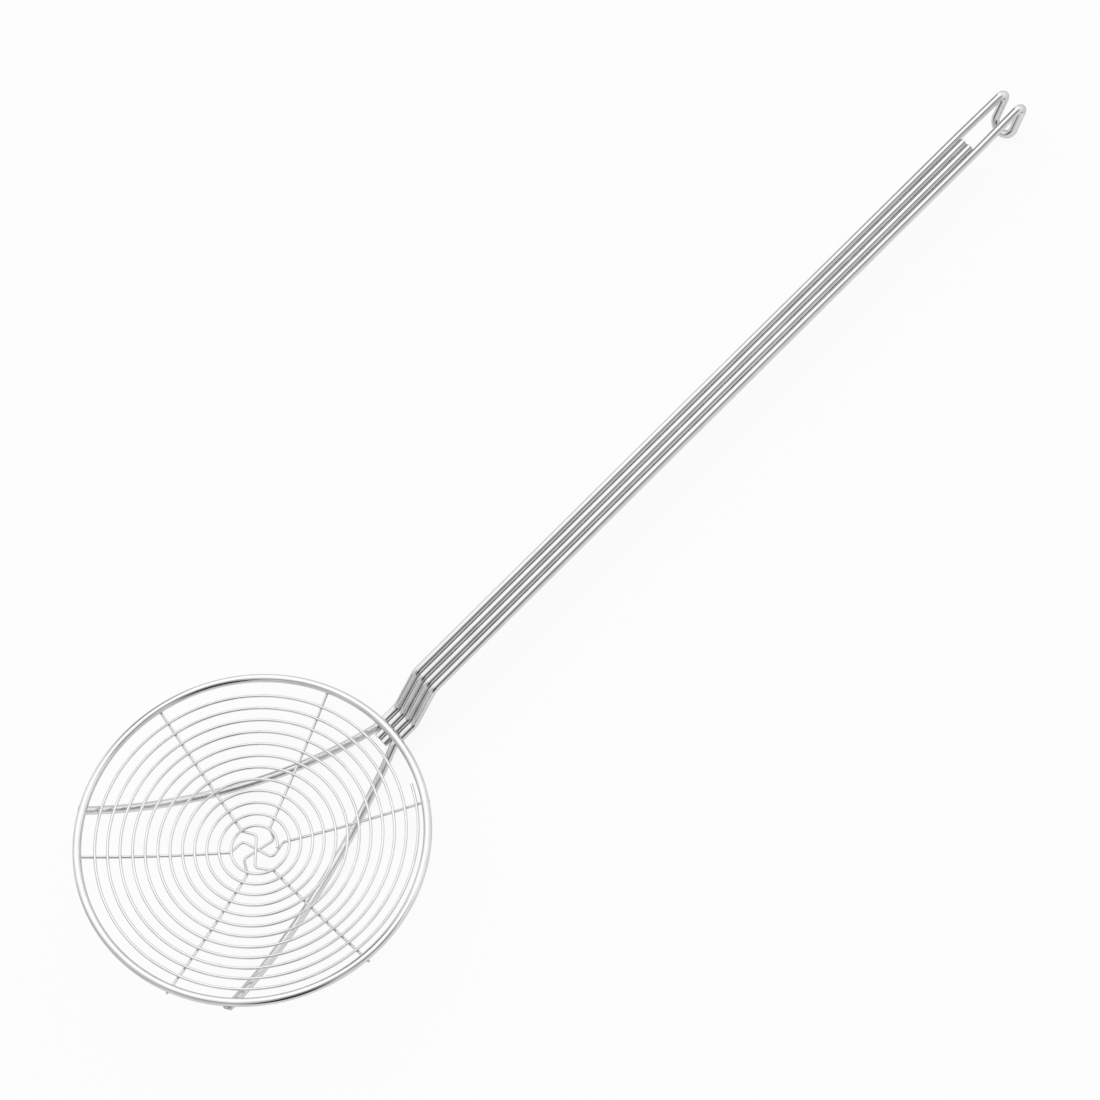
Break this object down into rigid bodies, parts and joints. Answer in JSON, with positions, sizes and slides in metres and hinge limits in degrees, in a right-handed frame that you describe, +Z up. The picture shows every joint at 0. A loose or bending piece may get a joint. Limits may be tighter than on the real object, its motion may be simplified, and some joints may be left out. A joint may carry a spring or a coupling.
{
  "type": "spider skimmer",
  "caption": "Long-handled wire spider skimmer: a shallow spiral dish in a round rim, carried on bowed struts by a flat handle of welded wires that ends in a hanging hook.",
  "frame": {"origin": "on the table, under the middle of the whole skimmer's box as it lies at rest", "axes": "+X along the handle from the dish to the hanging hook, +Y to the left looking that way, +Z up from the table"},
  "size_m": [0.6956, 0.2004, 0.0738],
  "materials": {
    "heavy_wire": "bright polished round wire",
    "thin_wire": "bright polished round wire"
  },
  "bodies": {
    "root": {"rim_ring": "heavy_wire", "frame_wire": "heavy_wire", "left_inner_wire": "heavy_wire", "right_inner_wire": "heavy_wire", "long_spoke_wire": "thin_wire", "cross_spoke_wire": "thin_wire", "back_spoke_wire": "thin_wire", "spiral_wire": "thin_wire"}
  },
  "joints": []
}
